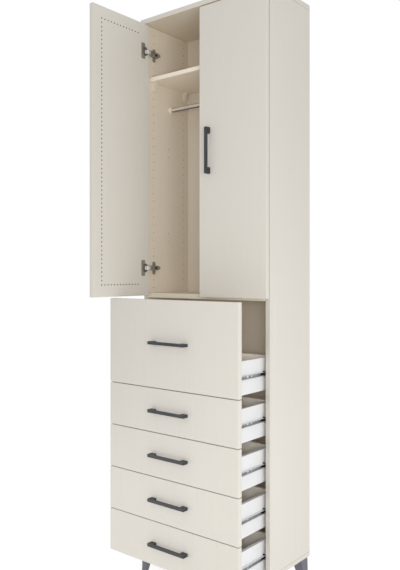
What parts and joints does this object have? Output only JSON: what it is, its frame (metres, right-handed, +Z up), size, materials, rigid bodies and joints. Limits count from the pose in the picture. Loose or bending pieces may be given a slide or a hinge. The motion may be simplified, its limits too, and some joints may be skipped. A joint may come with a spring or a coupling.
{
  "type": "chifforobe",
  "caption": "Tall narrow wardrobe on tapered legs: two hinged doors over a stack of runner drawers, with bar handles, a shelf and a hanging rod inside.",
  "frame": {"origin": "on the floor, at the middle of the area that the posed wardrobe covers", "axes": "+Z up, -Y towards the person who opens it, +X to the right of that person"},
  "size_m": [0.615, 0.579, 2.238],
  "materials": {
    "cream_laminate": "matt cream laminate on chipboard",
    "drawer_white": "white laminate on chipboard",
    "back_board": "thin hardboard with a cream face",
    "dark_handle": "dark charcoal powder coat",
    "leg_grey": "satin dark grey",
    "zinc_steel": "zinc plated rolled steel",
    "hinge_steel": "nickel plated steel",
    "bright_steel": "bright nickel plated steel",
    "rod_chrome": "chrome plated tube",
    "beige_plastic": "moulded beige plastic",
    "black_plastic": "moulded black plastic"
  },
  "bodies": {
    "carcass": {"adjustable_shelf": "cream_laminate", "back_panel": "back_board", "bottom_panel": "cream_laminate", "divider_panel": "cream_laminate", "floor_glides": "black_plastic", "hanging_rod": "rod_chrome", "hinge_arm_pins": "hinge_steel", "hinge_arms": "hinge_steel", "hinge_plates": "hinge_steel", "leg_bolts": "hinge_steel", "legs": "leg_grey", "rod_brackets": "beige_plastic", "runner_end_stops": "black_plastic", "runner_rails": "zinc_steel", "shelf_supports": "beige_plastic", "side_panel_left": "cream_laminate", "side_panel_right": "cream_laminate", "top_panel": "cream_laminate"},
    "left_hinge_links": {"hinge_links_left": "bright_steel"},
    "right_hinge_links": {"hinge_links_right": "bright_steel"},
    "left_door": {"door_left": "cream_laminate", "door_handle_left": "dark_handle", "hinge_cups_left": "hinge_steel", "hinge_cup_pins_left": "hinge_steel"},
    "right_door": {"door_right": "cream_laminate", "door_handle_right": "dark_handle", "hinge_cups_right": "hinge_steel", "hinge_cup_pins_right": "hinge_steel"},
    "drawer_1": {"drawer_back_1": "drawer_white", "drawer_bottom_1": "drawer_white", "drawer_front_1": "cream_laminate", "drawer_handle_1": "dark_handle", "drawer_runners_1": "zinc_steel", "drawer_sides_1": "drawer_white"},
    "drawer_2": {"drawer_back_2": "drawer_white", "drawer_bottom_2": "drawer_white", "drawer_front_2": "cream_laminate", "drawer_handle_2": "dark_handle", "drawer_runners_2": "zinc_steel", "drawer_sides_2": "drawer_white"},
    "drawer_3": {"drawer_back_3": "drawer_white", "drawer_bottom_3": "drawer_white", "drawer_front_3": "cream_laminate", "drawer_handle_3": "dark_handle", "drawer_runners_3": "zinc_steel", "drawer_sides_3": "drawer_white"},
    "drawer_4": {"drawer_back_4": "drawer_white", "drawer_bottom_4": "drawer_white", "drawer_front_4": "cream_laminate", "drawer_handle_4": "dark_handle", "drawer_runners_4": "zinc_steel", "drawer_sides_4": "drawer_white"},
    "drawer_5": {"drawer_back_5": "drawer_white", "drawer_bottom_5": "drawer_white", "drawer_front_5": "cream_laminate", "drawer_handle_5": "dark_handle", "drawer_runners_5": "zinc_steel", "drawer_sides_5": "drawer_white"}
  },
  "joints": [
    {"name": "left_link_pivot", "type": "hinge", "parent": "carcass", "child": "left_hinge_links", "pos_m": [-0.263, 0.0127, 0], "axis": [0, 0, 1], "range_deg": [-47.8, 2.75]},
    {"name": "left_door_swing", "type": "hinge", "parent": "left_hinge_links", "child": "left_door", "pos_m": [-0.2705, -0.0055, 0], "axis": [0, 0, 1], "range_deg": [-7.65, 137.7]},
    {"name": "right_link_pivot", "type": "hinge", "parent": "carcass", "child": "right_hinge_links", "pos_m": [0.274, 0.0127, 0], "axis": [0, 0, 1], "range_deg": [-50.45, 0.1]},
    {"name": "right_door_swing", "type": "hinge", "parent": "right_hinge_links", "child": "right_door", "pos_m": [0.2925, 0.006, 0], "axis": [0, 0, 1], "range_deg": [0, 145.35]},
    {"name": "drawer_1_slide", "type": "slide", "parent": "carcass", "child": "drawer_1", "axis": [0, -1, 0], "range_m": [-0.166, 0.02]},
    {"name": "drawer_2_slide", "type": "slide", "parent": "carcass", "child": "drawer_2", "axis": [0, -1, 0], "range_m": [-0.166, 0.02]},
    {"name": "drawer_3_slide", "type": "slide", "parent": "carcass", "child": "drawer_3", "axis": [0, -1, 0], "range_m": [-0.166, 0.02]},
    {"name": "drawer_4_slide", "type": "slide", "parent": "carcass", "child": "drawer_4", "axis": [0, -1, 0], "range_m": [-0.166, 0.02]},
    {"name": "drawer_5_slide", "type": "slide", "parent": "carcass", "child": "drawer_5", "axis": [0, -1, 0], "range_m": [-0.166, 0.02]}
  ],
  "couplings": [
    {"joint": "left_link_pivot", "follows": "left_door_swing", "ratio": -0.34641},
    {"joint": "right_link_pivot", "follows": "right_door_swing", "ratio": -0.34641}
  ]
}
